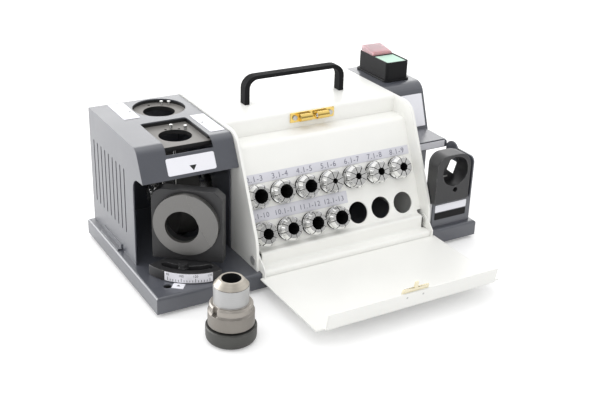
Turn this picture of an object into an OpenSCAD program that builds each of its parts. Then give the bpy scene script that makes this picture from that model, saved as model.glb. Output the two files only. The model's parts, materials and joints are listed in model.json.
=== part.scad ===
// Bench drill bit sharpener: a folded base carries the grinder housing on the left, the collet
// cabinet with its fold-down door in the middle and the motor cover with the switch and the
// setting station on the right. A collet chuck stands in front. All sizes are in millimetres.
// Modules are written in the machine frame (X from the base's left end, Y from its front edge,
// Z from the table) and placed once, so that the origin lies under the middle of the object.

/* [Base] */
// Height of the rubber feet that shows below the base
foot_h = 3.3; // [2.5:0.1:5]
// Radius of a rubber foot
foot_r = 8.5; // [6:0.5:10]
// Height of the folded base tray
base_h = 14.7; // [12:0.1:18]
// Depth of the base from front to back
base_w = 168; // [166:1:176]
// Thickness of the base sheet
base_t = 1.5; // [1.2:0.1:2]
// Outer bend radius of the base
base_bend = 2.5; // [1.5:0.1:3.5]
// Base left free beside the grinder housing
margin_l = 6.4; // [4:0.1:10]
// Base left free beside the motor cover
margin_r = 6; // [4:0.1:10]
// Base left free behind the housings
margin_b = 1.5; // [1:0.1:3]
// Distance of the foot holes from the base edges
hole_in = 16.2; // [13:0.1:20]
// Diameter of the foot holes
hole_d = 7; // [4:0.5:8]

/* [Grinder housing] */
// Width of the grinder housing, up to the cabinet
grinder_w = 87.7; // [86:0.1:92]
// Height of the grinder housing above the base
grinder_h = 110.7; // [108:0.1:113]
// Distance of the upper front corner from the base front
grinder_front = 52.6; // [50:0.1:54]
// How far the slanted face reaches down
slant_drop = 26.4; // [22:0.1:30]
// How far the slanted face reaches forward
slant_run = 13.3; // [11:0.1:15]
// Thickness of the housing sheet
sheet_t = 1.2; // [0.8:0.1:1.4]
// Bend radius of the housing sheet
sheet_bend = 9; // [6:0.5:10]
// Front edge of the left wall
wall_front = 61.9; // [60:0.1:66]
// Radius of the notch in the left wall
notch_r = 12; // [6:1:14]
// Number of vent slots
slots = 9; // [5:1:10]
// Distance between vent slots
slot_pitch = 9.28; // [8:0.01:9.5]
// Width of a vent slot
slot_w = 2; // [1.5:0.1:3]
// Height of a vent slot
slot_h = 60.2; // [50:0.1:64]
// Gap between the grinder housing and the cabinet
wall_gap = 0.3; // [0.2:0.1:0.6]

/* [Grinding ports] */
// Radius of the opening of the round port
round_r = 23.8; // [22:0.1:24]
// Radius of the bore of the round port
round_bore = 14.35; // [14.3:0.01:14.6]
// Centre of the round port, from the left end
round_x = 62.8; // [61:0.1:64]
// Centre of the round port, from the base front
round_y = 138.4; // [137.8:0.1:138.6]
// Depth of the round port's floor below the top
round_deep = 3.9; // [3:0.1:4.5]
// Left edge of the square opening
square_x = 31.2; // [30:0.1:34]
// Width of the square opening
square_w = 43; // [41:0.1:44]
// Back edge of the square opening
square_back = 105.6; // [104:0.1:106]
// How far the square opening cuts down the front
square_drop = 8.4; // [6:0.1:9]
// Radius of the bore of the square port
square_bore = 14.35; // [14.3:0.01:14.6]
// Centre of the square port's bore, from the left end
square_cx = 52.6; // [51:0.1:54]
// Centre of the square port's bore, from the base front
square_cy = 78.5; // [77:0.1:80]
// Depth of the square port's floor below the top
square_deep = 4.4; // [3.5:0.1:5]
// Thickness of the port plates
port_t = 4; // [3:0.1:5]
// Radius of the locating pins
pin_r = 1.5; // [1:0.1:2]

/* [Swivel port] */
// Pivot of the swivel, from the left end
pivot_x = 56.5; // [56:0.1:57]
// Pivot of the swivel, from the base front
pivot_y = 53.5; // [53:0.1:54]
// Angle of the swivel port to the front
swivel_a = 38; // [35:1:41]
// Radius of the pivot pin
pivot_r = 4; // [3:0.1:5]
// Distance of the block's front from the pivot
block_front = 23; // [22:0.1:24]
// Thickness of the block
block_t = 11.5; // [9:0.1:11.5]
// Reach of the block to the left
block_l = 30; // [29.5:0.1:31]
// Reach of the block to the right
block_r = 31.5; // [29.5:0.1:31.5]
// Height of the block
block_h = 65; // [64:0.1:65]
// Radius of the ring
ring_r = 28.1; // [27:0.1:28.5]
// Thickness of the ring on its high side
ring_t = 5.5; // [4:0.1:6]
// Height of the step across the ring's face
ring_step = 1.3; // [0.5:0.1:2]
// Height of the ring's centre above the base
ring_up = 44.1; // [43.8:0.1:44.5]
// Radius of the ring's bore
swivel_bore = 14.6; // [14.3:0.01:14.7]
// Sideways offset of the bore in the ring
bore_off = 3.25; // [2.5:0.05:3.5]
// Downward offset of the bore in the ring
bore_down = 2.2; // [1.5:0.05:2.5]
// Thickness of the swivel's arc plate
arc_t = 9; // [7:0.1:9.5]
// Outer radius of the arc plate
arc_r = 47.5; // [46.5:0.1:47.5]
// Angle that the arc plate spans
arc_span = 82; // [78:1:84]
// Middle radius of the clamp slot
slot_mid = 37.25; // [36.5:0.05:38]
// Width of the clamp slot
slot_gap = 7.5; // [7:0.1:8]
// Running clearance of pins and bores
run_gap = 0.05; // [0.03:0.01:0.08]
// Clearance under and over sliding plates
slide_gap = 0.3; // [0.2:0.05:0.4]

/* [Cabinet] */
// Width of the cabinet over its cheeks
cabinet_w = 184.15; // [183:0.05:190]
// Height of the cabinet above the base
cabinet_h = 112.4; // [110:0.1:114]
// Thickness of the cheeks and the top
cheek_t = 2.7; // [2:0.1:3]
// Front of the cheeks at the base
cheek_foot = 4.8; // [4:0.1:6]
// Front of the cheeks where the slope starts
kink_y = 6.6; // [6.2:0.1:7]
// Height of the start of the slope above the base
kink_up = 25.1; // [24:0.1:26]
// Angle of the cheeks' sloping edge
slope_a = 64.94; // [64:0.01:66]
// Radius of the cheeks' upper front corner
cheek_r = 17; // [12:0.5:20]
// Distance of the step face from the base front
step_y = 73.3; // [72:0.1:74]
// Depth of the step below the top
step_drop = 16; // [15:0.1:16.5]
// Width of the motor cover
cover_w = 45.75; // [45:0.05:50]

/* [Collet rack] */
// Depth of the rack panel behind the cheeks' edge
rack_set = 13.5; // [13.4:0.1:14]
// Thickness of the rack sheet
rack_t = 1.5; // [1.2:0.1:2]
// Radius of a collet hole
hole_r = 10.1; // [10.05:0.01:10.2]
// Number of columns
cols = 7; // [6:1:7]
// Distance between columns
col_pitch = 24.82; // [24.5:0.01:24.85]
// First column, from the cabinet's left side
col_in = 13.7; // [13.5:0.1:13.8]
// Lower row, along the panel
row_low = 6.45; // [6:0.05:7]
// Distance between the rows
row_pitch = 33.05; // [32:0.05:34]
// Largest radius of a collet
collet_r = 10.5; // [10.4:0.05:10.6]
// Length of a collet
collet_l = 31.5; // [30:0.1:32]
// How far a collet stands out of the panel
collet_out = 12.6; // [12:0.1:12.8]
// Angle of the collet's long taper
collet_a = 8; // [7.5:0.5:8]

/* [Handle] */
// Distance over the handle's legs
handle_w = 105.7; // [95:0.1:110]
// Left side of the handle, from the cabinet's left side
handle_in = 39.2; // [35:0.1:42]
// Width of the handle strap
handle_b = 9.3; // [8:0.1:12]
// Front of the handle strap, from the base front
handle_y = 106; // [100:0.5:110]
// Height of the handle above the cabinet
handle_h = 26.4; // [20:0.1:32]
// Thickness of the handle's legs
leg_t = 4.9; // [4:0.1:6]
// Thickness of the handle's grip
grip_t = 3.5; // [3:0.1:5]

/* [Door] */
// Height of the door's hinge above the base
hinge_up = 8.1; // [8:0.05:8.3]
// Distance of the hinge from the base front
hinge_y = 11; // [10.8:0.1:11.2]
// Thickness of the door sheet
door_t = 1.2; // [1:0.1:1.3]
// Gap between the closed door and the cheeks
door_gap = 0.3; // [0.3:0.05:0.4]
// Back edge of the open door, in front of the base
door_back = 2.1; // [2.1:0.05:2.4]
// Length of the door, from the base front to its fold
door_l = 98.1; // [97.5:0.1:98.5]
// Length of the door's folded edge
flange_l = 16.2; // [14:0.1:16.5]
// Lean of the folded edge
flange_a = 10.3; // [8:0.1:12]
// Inset of the folded edge at both ends
flange_in = 7.6; // [5:0.1:9]
// Radius of the hinge pins
hinge_r = 2; // [1.5:0.1:2.2]
// Thickness of the door's ears
ear_t = 1.2; // [1:0.1:1.2]
// Width of the strike
strike_w = 26; // [22:0.5:28]
// Width of the catch
catch_w = 45.6; // [43:0.1:50]
// Height of the catch
catch_h = 9; // [8.4:0.1:9.5]
// Gap between the two balls
ball_gap = 3.7; // [3.6:0.05:4]
// Radius of a ball
ball_r = 2.1; // [1.8:0.05:2.2]

/* [Switch] */
// Length of the switch body
switch_l = 50; // [48:0.5:51]
// Width of the switch body
switch_w = 26; // [25:0.5:27]
// Height of the switch above the cover
switch_h = 19.4; // [17:0.1:22]
// Front of the switch body, from the base front
switch_y = 108; // [107:0.5:109]
// Left side of the switch body, from the cabinet
switch_in = 11.75; // [10:0.05:13]
// Travel of the buttons
press = 1.5; // [1:0.1:2]

/* [Motor cover and setting station] */
// Upper front corner of the motor cover, from the base front
cover_front = 94.9; // [93:0.1:97]
// Lower edge of the cover's slanted face, above the base
cover_low = 66; // [64:0.5:68]
// Front of the cover below the slanted face
cover_face = 78; // [77:0.1:79]
// Depth of the shelf box
shelf_l = 31; // [28:0.1:31.5]
// Height of the shelf box
shelf_h = 8.5; // [7:0.1:10]
// Top of the shelf box above the base
shelf_up = 69.8; // [68.5:0.1:71]
// Front of the setting bracket, from the base front
apron_y = 5; // [4:0.1:6]
// Height of the apron
apron_h = 25.9; // [24:0.1:27]
// Height of the bracket's side plate
side_h = 65.3; // [60:0.1:66]
// Height of the setting block
set_h = 47.4; // [45:0.1:48]
// Width of the setting block
set_w = 38.8; // [38:0.1:39.5]
// Depth of the setting block
set_d = 14; // [10:0.1:15]
// Radius of the setting bore
set_bore = 14.5; // [14.3:0.01:14.6]
// Height of the setting bore above the base
set_up = 56.3; // [56:0.1:57]

/* [Chuck] */
// Centre of the chuck, from the left end
chuck_x = 40.7; // [38:0.1:44]
// Centre of the chuck, in front of the base
chuck_y = 53.1; // [45:0.1:60]
// Radius of the chuck's nut
nut_r = 20.6; // [20:0.1:22]
// Height of the chuck's nut
nut_h = 13.8; // [12:0.1:15]
// Radius of the chuck's body
body_r = 18.7; // [18:0.1:19.5]
// Radius of the chuck's barrel
barrel_r = 14.2; // [14.1:0.01:14.25]
// Height of the whole chuck
chuck_h = 54.5; // [52:0.1:60]
// Radius of the chuck's bore
chuck_bore = 7.9; // [7:0.1:8.5]

/* [Motor and wheel] */
// Radius of the grinding wheel
wheel_r = 40; // [36:0.5:41]
// Width of the grinding wheel
wheel_w = 20; // [14:0.5:20]
// Middle of the wheel, from the left end
wheel_x = 60; // [59:0.1:61]
// Distance of the motor axis from the base front
axis_y = 103; // [102.5:0.1:104]
// Height of the motor axis above the base
axis_up = 43.8; // [43.5:0.1:45]
// Radius of the motor
motor_r = 40; // [37:0.5:41]
// Length of the motor body
motor_l = 130; // [100:1:131]
// Left end of the motor, from the cabinet's left side
motor_in = 18; // [14:0.5:19]
// Radius of the rotor shaft
shaft_r = 6; // [5:0.1:7]

/* [Hidden] */
$fn = 64;

// Heights
zb = foot_h + base_h;
gz = zb + grinder_h;
cz = zb + cabinet_h;
ledge_z = cz - step_drop;
axis_z = zb + axis_up;
// Widths
gx0 = margin_l;
gx1 = gx0 + grinder_w - wall_gap;
cx0 = gx0 + grinder_w;
cx1 = cx0 + cabinet_w;
mx1 = cx1 + cover_w;
base_l = mx1 + margin_r;
catch_shift = -1.4;
mid_x = (cx0 + cx1)/2 + catch_shift;
yb = base_w - margin_b;
// Cheek slope and rack panel, in the YZ plane
along = [cos(slope_a), sin(slope_a)];
outward = [-sin(slope_a), cos(slope_a)];
kink_z = zb + kink_up;
kink = [kink_y, kink_z];
top_y = kink_y + (cz - kink_z)/tan(slope_a);
rack0 = kink - rack_set*outward;
lip_s = -6;
lip_y = 9;
apron_z = zb + rack_t;
apron_out = -0.1 - rack_t;
apron_fold = 6;
rack_top = rack0 + along*(ledge_z - rack0[1])/along[1];
rack_low = rack0 + along*lip_s;
row_s = [row_low + row_pitch, row_low];
col_x = cx0 + col_in;
cols_low = 4;
bores_top = [13, 12.5, 12, 5, 6, 7, 8];
bores_low = [10, 11, 12, 13];
// Door
hinge_z = zb + hinge_up;
door_drop = (kink_y - hinge_y)*outward[0] + (kink_z - hinge_z)*outward[1] + door_gap;
door_in_z = hinge_z - door_drop;
door_out_z = door_in_z - door_t;
flange_u = [-sin(flange_a), cos(flange_a)];
flange_n = [cos(flange_a), sin(flange_a)];
flange_tip = [-door_l, door_out_z] + flange_l*flange_u;
flange_tip_in = flange_tip + door_t*flange_n;
door_x0 = cx0 - 0.2;
door_x1 = cx1 + 0.2;
ear_gap = 0.2;
ear_x = cx0 + cheek_t + ear_gap;
eye_r = 6;
pin_head_t = 1.2;
pin_head_in = 1.4;
// Catch and strike
catch_z = ledge_z + 10.4;
catch_plate = 1.5;
barrel_r_out = 3.4;
barrel_y = step_y - 4.3;
barrel_l = 11.8;
mouth_gap = 6.1;
strike_t = 1.5;
strike_up = 3.5;
strike_low = 8;
tongue_w = 3.2;
tongue_up = 9;
// Swivel
block_z0 = zb + slide_gap + arc_t;
block_z1 = block_z0 + block_h;
ring_z = zb + ring_up;
ring_x = 0.5;
bore_x = ring_x - bore_off;
bore_z = ring_z - bore_down;
arc_mid = 273;
slot_a0 = 245.5;
slot_a1 = 304.1;
clamp_a = 270.9;
// Ports
round_z = gz - round_deep;
square_z = gz - square_deep;
under = gz - sheet_t;
round_rim = round_r + 2.1;
back_bend = 2;
// Setting station
set_x0 = cx1 + 0.95;
set_y0 = apron_y - 3;
set_z0 = zb + apron_h;
set_cx = set_x0 + 21.3;
set_z = zb + set_up;
bracket_x0 = cx1 + 1.75;
bracket_x1 = mx1 + 0.5;
bracket_t = 1.5;
side_back = cover_face - shelf_l - 0.5;
// Switch
sw_x = cx1 + switch_in;
sw_z = cz + switch_h;
sw_lower = 20;
well_wall = 1.5;
well_mid = switch_y + 26.5;
btn_gap = 0.3;
// Motor
mot_x0 = cx0 + motor_in;
mot_x1 = mot_x0 + motor_l;
bell_t = 10;
shaft_x0 = wheel_x - wheel_w/2 - 14;
shaft_x1 = mot_x1 + 12;
flange_t = 4;
label_t = 0.3;
front_y = min(flange_tip[0], flange_tip_in[0] + tongue_up*flange_u[0]);

// ---- geometry helpers ----

function unit(v) = v/norm(v);
function perp(v) = [-v[1], v[0]];
function cross2(a, b) = a[0]*b[1] - a[1]*b[0];
// Corner b of a path a-b-c, rounded with radius r in n steps
function corner(a, b, c, r, n) = r <= 0 ? [b] :
  let(u = unit(a - b), v = unit(c - b), th = acos(u*v), o = b + unit(u + v)*r/sin(th/2),
      s = b + u*r/tan(th/2), e = b + v*r/tan(th/2),
      a0 = atan2(s[1] - o[1], s[0] - o[0]), a1 = atan2(e[1] - o[1], e[0] - o[0]),
      d = (a1 - a0 + 540)%360 - 180)
  [for (k = [0:n]) o + r*[cos(a0 + d*k/n), sin(a0 + d*k/n)]];
// Closed outline with a radius at each corner
function soft_loop(P, R, n = 6) = let(m = len(P))
  [for (i = [0:m - 1]) each corner(P[(i + m - 1)%m], P[i], P[(i + 1)%m], R[i], n)];
// Open path with a radius at each inner corner
function soft_path(P, R, n = 6) = let(m = len(P))
  [for (i = [0:m - 1]) each (i == 0 || i == m - 1 ? [P[i]]
    : corner(P[i - 1], P[i], P[i + 1], R[i], n))];
function meet(p, u, q, v) = p + u*cross2(q - p, v)/cross2(u, v);
// The path moved by d to its left
function off_path(P, d) = let(m = len(P)) [for (i = [0:m - 1])
  i == 0 ? P[0] + perp(unit(P[1] - P[0]))*d :
  i == m - 1 ? P[i] + perp(unit(P[i] - P[i - 1]))*d :
  let(u = unit(P[i] - P[i - 1]), v = unit(P[i + 1] - P[i]))
  meet(P[i] + perp(u)*d, u, P[i] + perp(v)*d, v)];
function turn_of(P, i) = sign(cross2(P[i] - P[i - 1], P[i + 1] - P[i]));
function off_r(P, R, d) = let(m = len(P))
  [for (i = [0:m - 1]) i == 0 || i == m - 1 ? 0 : max(0, R[i] - turn_of(P, i)*d)];
function flip(L) = [for (i = [len(L) - 1:-1:0]) L[i]];
// Outline of a sheet of thickness d bent along a path
function sheet(P, R, d) = concat(soft_path(P, R), flip(soft_path(off_path(P, d), off_r(P, R, d))));
function rack_at(s, d = 0) = rack0 + along*s + outward*d;

module place() {
  translate([-base_l/2, -(base_w + front_y)/2, 0]) children();
}
// Extrudes an outline given in (Y, Z) from x0 to x1
module along_x(x0, x1) {
  translate([x0, 0, 0]) rotate([90, 0, 90]) linear_extrude(x1 - x0) children();
}
// Extrudes an outline given in (X, Z) from y0 to y1
module along_y(y0, y1) {
  translate([0, y1, 0]) rotate([90, 0, 0]) linear_extrude(y1 - y0) children();
}
module box(a, b) {
  translate(a) cube(b - a);
}
module rod_x(x0, x1, y, z, r) {
  translate([x0, y, z]) rotate([0, 90, 0]) cylinder(r = r, h = x1 - x0);
}
module rod_y(y0, y1, x, z, r) {
  translate([x, y1, z]) rotate([90, 0, 0]) cylinder(r = r, h = y1 - y0);
}
module rod_z(z0, z1, x, y, r) {
  translate([x, y, z0]) cylinder(r = r, h = z1 - z0);
}
// Frame on the rack panel: Z points out of the panel, Y up along it
module on_rack(x, s) {
  p = rack_at(s);
  translate([x, p[0], p[1]]) rotate([slope_a, 0, 0]) children();
}
// Frame of the swivel: -Y points out of its port
module on_swivel() {
  translate([pivot_x, pivot_y, 0]) rotate([0, 0, -swivel_a]) children();
}
// Ring sector of a rectangular section
module sector(r0, r1, z0, z1, a0, a1) {
  rotate([0, 0, a0]) rotate_extrude(angle = a1 - a0)
    polygon([[r0, z0], [r1, z0], [r1, z1], [r0, z1]]);
}

// ---- base ----

module base_plate() place() color("dimgray") difference() {
  intersection() {
    along_x(0, base_l) polygon(soft_loop(
      [[0, foot_h], [base_w, foot_h], [base_w, zb], [0, zb]], [0, 0, base_bend, base_bend]));
    along_y(0, base_w) polygon(soft_loop(
      [[0, foot_h], [base_l, foot_h], [base_l, zb], [0, zb]], [0, 0, base_bend, base_bend]));
  }
  box([base_t, base_t, foot_h - 1], [base_l - base_t, base_w - base_t, zb - base_t]);
  for (x = [hole_in, base_l - hole_in], y = [hole_in, base_w - hole_in])
    rod_z(zb - base_t - 1, zb + 1, x, y, hole_d/2);
}
module rubber_feet() place() color([0.08, 0.08, 0.08])
  for (x = [hole_in, base_l - hole_in], y = [hole_in, base_w - hole_in]) difference() {
    rod_z(0, zb - base_t, x, y, foot_r);
    rod_z(zb - base_t - 8, zb, x, y, hole_d/2);
  }

// ---- grinder housing ----

grind_path = [[yb, zb], [yb, gz], [grinder_front, gz],
  [grinder_front - slant_run, gz - slant_drop]];
slant_tip = grind_path[3];
slant_u = unit(slant_tip - grind_path[2]);
function slant_y(z) = grinder_front - (gz - z)*slant_run/slant_drop;

module grinder_housing() place() color("slategray") difference() {
  union() {
    along_x(gx0, gx1) polygon(sheet(grind_path, [0, back_bend, sheet_bend, 0], sheet_t));
    along_x(gx0, gx0 + sheet_t) polygon(concat(
      [[yb, zb], [yb, gz - back_bend], [yb - back_bend, gz]],
      soft_path([[yb - 5, gz], [grinder_front, gz], slant_tip], [0, sheet_bend, 0]),
      corner([slant_tip[0], slant_tip[1] - 0.8], [wall_front, slant_tip[1] - 0.8],
        [wall_front, zb], notch_r, 8),
      [[wall_front, zb]]));
    // tab that screws the housing down
    box([gx0 - 1.2, 94, zb], [gx0, 137, zb + 5.3]);
    box([gx0 - 4.6, 94, zb], [gx0, 137, zb + 1.2]);
  }
  for (i = [0:slots - 1]) let(y = yb - 10.5 - i*slot_pitch, z0 = zb + 22.8) {
    box([gx0 - 1, y - slot_w/2, z0 + slot_w/2],
      [gx0 + sheet_t + 0.5, y + slot_w/2, z0 + slot_h - slot_w/2]);
    rod_x(gx0 - 1, gx0 + sheet_t + 0.5, y, z0 + slot_w/2, slot_w/2);
    rod_x(gx0 - 1, gx0 + sheet_t + 0.5, y, z0 + slot_h - slot_w/2, slot_w/2);
  }
  rod_z(gz - 6, gz + 1, round_x, round_y, round_r);
  translate([0, 0, gz - square_drop]) linear_extrude(20) polygon(soft_loop(
    [[square_x, 20], [square_x + square_w, 20], [square_x + square_w, square_back],
     [square_x, square_back]], [0, 0, 3, 3]));
}
module grinder_bulkhead() place() color("gray") difference() {
  along_x(gx1 - sheet_t, gx1) polygon([[54, zb], [yb - sheet_t - 0.05, zb],
    [yb - sheet_t - 0.05, gz - 8], [yb - 8, under - 0.05], [grinder_front + 9, under - 0.05],
    [grinder_front + 2, gz - 12]]);
  rod_x(gx1 - 5, gx1 + 1, axis_y, axis_z, 14);
}
function round_pins() = [[round_x + 9, round_y + 16], [round_x + 15.1, round_y + 13.2]];
function square_pins() = [[square_cx + 3, square_cy + 16.1], [square_cx + 13.5, square_cy + 9.3]];
function square_holes() = [[square_cx - 2, square_cy + 16.2], [square_cx + 9.4, square_cy + 13.3]];
module round_port_plate() place() color("gray") difference() {
  rod_z(round_z - port_t, under, round_x, round_y, round_rim);
  rod_z(round_z, under + 1, round_x, round_y, round_r + 0.1);
  rod_z(round_z - port_t - 1, round_z + 1, round_x, round_y, round_bore);
  for (p = round_pins()) rod_z(round_z - 3, round_z + 1, p[0], p[1], pin_r);
  rod_z(round_z - 3, round_z + 1, round_x - 2, round_y + 19.2, 1.3);
}
module square_port_plate() place() color("gray") difference() {
  union() {
    box([square_x - 3.7, grinder_front + 3.4, square_z - port_t],
      [square_x + square_w + 3.8, square_back + 3.6, square_z]);
    box([square_x - 3.7, grinder_front + 7.4, square_z - port_t],
      [square_x + square_w + 3.8, square_back + 3.6, under]);
  }
  box([square_x - 0.1, 20, square_z], [square_x + square_w + 0.1, square_back + 0.1, under + 1]);
  rod_z(square_z - port_t - 1, square_z + 1, square_cx, square_cy, square_bore);
  for (p = square_pins()) rod_z(square_z - 3, square_z + 1, p[0], p[1], pin_r);
  for (p = square_holes()) rod_z(square_z - 3, square_z + 1, p[0], p[1], 1.2);
}
module port_pins() place() color("silver") {
  for (p = round_pins()) rod_z(round_z - 3, gz - 0.3, p[0], p[1], pin_r);
  for (p = square_pins()) rod_z(square_z - 3, gz - 0.3, p[0], p[1], pin_r);
}
module stop_post() place() color("gainsboro")
  rod_z(gz - 41.5, square_z - port_t, 42.4, grinder_front + 5, 1.35);
module grinder_labels() place() color("lavender") {
  box([gx0 + 16.6, 120.5, gz], [gx0 + 31.6, 162.5, gz + label_t]);
  box([gx0 + 72.1, 62.7, gz], [gx0 + 85.6, 106.5, gz + label_t]);
  along_x(gx0 + 23.4, gx0 + 67.1) let(z0 = gz - 23.9, z1 = gz - 10.7,
    n = [slant_u[1], -slant_u[0]]*label_t, p = [slant_y(z0), z0], q = [slant_y(z1), z1])
    polygon([p, q, q + n, p + n]);
}

// ---- swivel port ----

module swivel_block() place() color([0.29, 0.29, 0.3]) on_swivel() difference() {
  along_y(-block_front, -block_front + block_t) polygon(concat(
    [[-block_l, block_z0], [block_r, block_z0], [block_r, block_z1 - 6],
     [block_r - 7, block_z1]],
    corner([block_r, block_z1], [-block_l, block_z1], [-block_l, block_z0], 11, 8)));
  rod_y(-block_front - 1, 0, bore_x, bore_z, swivel_bore + 2);
}
module swivel_ring() place() color([0.52, 0.5, 0.48]) on_swivel() difference() {
  rod_y(-block_front - ring_t, -block_front, ring_x, ring_z, ring_r);
  along_y(-block_front - ring_t - 1, -block_front - ring_t + ring_step) polygon(
    [[ring_x + 1.2, ring_z + 32], [ring_x + 1.7, ring_z + 24], [ring_x + 12.3, ring_z - 0.8],
     [ring_x + 22.5, ring_z - 18.8], [ring_x + 24, ring_z - 32], [-40, ring_z - 32],
     [-40, ring_z + 32]]);
  rod_y(-block_front - ring_t - 1, 0, bore_x, bore_z, swivel_bore);
}
module swivel_arc_plate() place() color([0.33, 0.33, 0.34]) on_swivel() difference() {
  union() {
    rod_z(zb + slide_gap - 0.1, block_z0 + 0.1, 0, 0, pivot_r + 7);
    sector(pivot_r + 3, arc_r, zb + slide_gap, block_z0, arc_mid - arc_span/2,
      arc_mid + arc_span/2);
  }
  rod_z(zb - 1, block_z0 + 1, 0, 0, pivot_r + run_gap);
  sector(slot_mid - slot_gap/2, slot_mid + slot_gap/2, zb - 1, block_z0 + 1, slot_a0, slot_a1);
  for (a = [slot_a0, slot_a1])
    rod_z(zb - 1, block_z0 + 1, slot_mid*cos(a), slot_mid*sin(a), slot_gap/2 + 0.05);
}
module swivel_scale() place() color("lavender") on_swivel()
  sector(arc_r + 0.02, arc_r + label_t, zb + slide_gap + 0.4, block_z0 - 0.2, 253.5, 303.7);
module swivel_pivot_pin() place() color("silver") on_swivel() {
  rod_z(zb, block_z0 + slide_gap, 0, 0, pivot_r);
  rod_z(block_z0 + slide_gap, block_z0 + slide_gap + 2.5, 0, 0, pivot_r + 3);
}
module swivel_clamp_screw() place() color("silver") on_swivel()
  let(x = slot_mid*cos(clamp_a), y = slot_mid*sin(clamp_a)) {
    rod_z(zb, block_z0 + slide_gap, x, y, 3);
    rod_z(block_z0 + slide_gap, block_z0 + slide_gap + 0.8, x, y, 4.6);
    rod_z(block_z0 + slide_gap + 0.8, block_z0 + slide_gap + 4.4, x, y, 3.9);
  }
module pointer_plate() place() color("white")
  on_swivel() box([-5, -arc_r - 9, zb], [5, -arc_r - 0.6, zb + 0.25]);

// ---- cabinet ----

module cheek(x) along_x(x, x + cheek_t) polygon(concat(
  [[cheek_foot, zb], [kink_y - 0.2, kink_z - 4], kink + along*4],
  corner(kink, [top_y, cz], [yb, cz], cheek_r, 10),
  corner([0, cz], [yb, cz], [yb, zb], 3, 4), [[yb, zb]]));
module cabinet_shell() place() color([0.95, 0.95, 0.93]) difference() {
  union() {
    cheek(cx0);
    cheek(cx1 - cheek_t);
    along_x(cx0, cx1) polygon(sheet([[yb, zb], [yb, cz], [step_y, cz], [step_y, ledge_z]],
      [0, 3, 3, 0], cheek_t));
  }
  // holes for the shaft, the hinge pins, the catch screws, the handle screws and the cable
  rod_x(cx0 - 1, cx0 + cheek_t + 1, axis_y, axis_z, 14);
  rod_x(cx0 - 1, cx1 + 1, hinge_y, hinge_z, hinge_r);
  for (x = catch_x()) rod_y(step_y - 1, step_y + cheek_t + 0.5, x, catch_z, 1.2);
  for (x = leg_x()) rod_z(cz - cheek_t - 1, cz + 1, x, handle_y + handle_b/2, 1.9);
  rod_x(cx1 - cheek_t - 1, cx1 + 1, 130, zb + 82, 8);
}
module collet_rack() place() color([0.93, 0.93, 0.91]) difference() {
  along_x(cx0 + cheek_t, cx1 - cheek_t) polygon(sheet(
    [[step_y + cheek_t, ledge_z], rack_top, rack_low, [lip_y, rack_low[1]], [lip_y, apron_z],
     [apron_out, apron_z], [apron_out, zb - apron_fold]], [0, 6, 2, 2, 2, 3, 0], rack_t));
  for (x = [cx0, cx1 - cheek_t - 4.4])
    box([x, 7, apron_z - 0.2], [x + cheek_t + 4.4, 20, rack_low[1] + 2.4]);
  for (c = [0:cols - 1], s = row_s)
    on_rack(col_x + c*col_pitch, s) translate([0, 0, -5]) cylinder(r = hole_r, h = 8);
}
module rack_labels() place() color("lavender") {
  on_rack(cx0 + 4.9, 0) translate([0, row_s[0] + hole_r + 0.9, 0])
    cube([cabinet_w - 10, 8.3, label_t]);
  on_rack(cx0 + 4.9, 0) translate([0, row_s[1] + hole_r + 0.9, 0])
    cube([col_in + 3.45*col_pitch, 11, label_t]);
}
// Collet: short cone, collar, groove and long slotted taper; Z points out of the rack
module collet(bore) {
  z1 = collet_out;
  r = collet_r;
  rt = tan(collet_a);
  difference() {
    rotate_extrude() polygon([[bore/2, z1], [r - 1.9, z1], [r, z1 - 3.3], [r, z1 - 5.6],
      [r - 1.3, z1 - 6], [r - 1.3, z1 - 8], [r, z1 - 8.6],
      [r - (collet_l - 8.6)*rt, z1 - collet_l], [bore/2, z1 - collet_l]]);
    for (a = [0:45:315]) rotate([0, 0, a + 12]) translate([1.5, -0.3, z1 - 21])
      cube([r, 0.6, 22]);
  }
}
module collet_n(c, row, bore) place() color("silver")
  on_rack(col_x + c*col_pitch, row_s[row]) collet(bore);
module collet_01() collet_n(0, 0, bores_top[0]);
module collet_02() collet_n(1, 0, bores_top[1]);
module collet_03() collet_n(2, 0, bores_top[2]);
module collet_04() collet_n(3, 0, bores_top[3]);
module collet_05() collet_n(4, 0, bores_top[4]);
module collet_06() collet_n(5, 0, bores_top[5]);
module collet_07() collet_n(6, 0, bores_top[6]);
module collet_08() collet_n(0, 1, bores_low[0]);
module collet_09() collet_n(1, 1, bores_low[1]);
module collet_10() collet_n(2, 1, bores_low[2]);
module collet_11() collet_n(3, 1, bores_low[3]);

// ---- handle ----

handle_x0 = cx0 + handle_in;
function leg_x() = [handle_x0 + leg_t/2, handle_x0 + handle_w - leg_t/2];
module carry_handle() place() color([0.1, 0.1, 0.1]) difference() {
  along_y(handle_y, handle_y + handle_b) polygon(concat(
    soft_loop([[handle_x0, cz], [handle_x0, cz + handle_h],
      [handle_x0 + handle_w, cz + handle_h], [handle_x0 + handle_w, cz]], [0, 12, 12, 0]),
    flip(soft_loop([[handle_x0 + leg_t, cz], [handle_x0 + leg_t, cz + handle_h - grip_t],
      [handle_x0 + handle_w - leg_t, cz + handle_h - grip_t],
      [handle_x0 + handle_w - leg_t, cz]], [0, 8.5, 8.5, 0]))));
  for (x = leg_x()) rod_z(cz - 1, cz + 9, x, handle_y + handle_b/2, 1.9);
}
module handle_screws() place() color("silver") for (x = leg_x()) {
  rod_z(cz - cheek_t, cz + 8.5, x, handle_y + handle_b/2, 1.9);
  rod_z(cz - cheek_t - 2.4, cz - cheek_t, x, handle_y + handle_b/2, 4);
}

// ---- door, strike and catch ----

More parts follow.
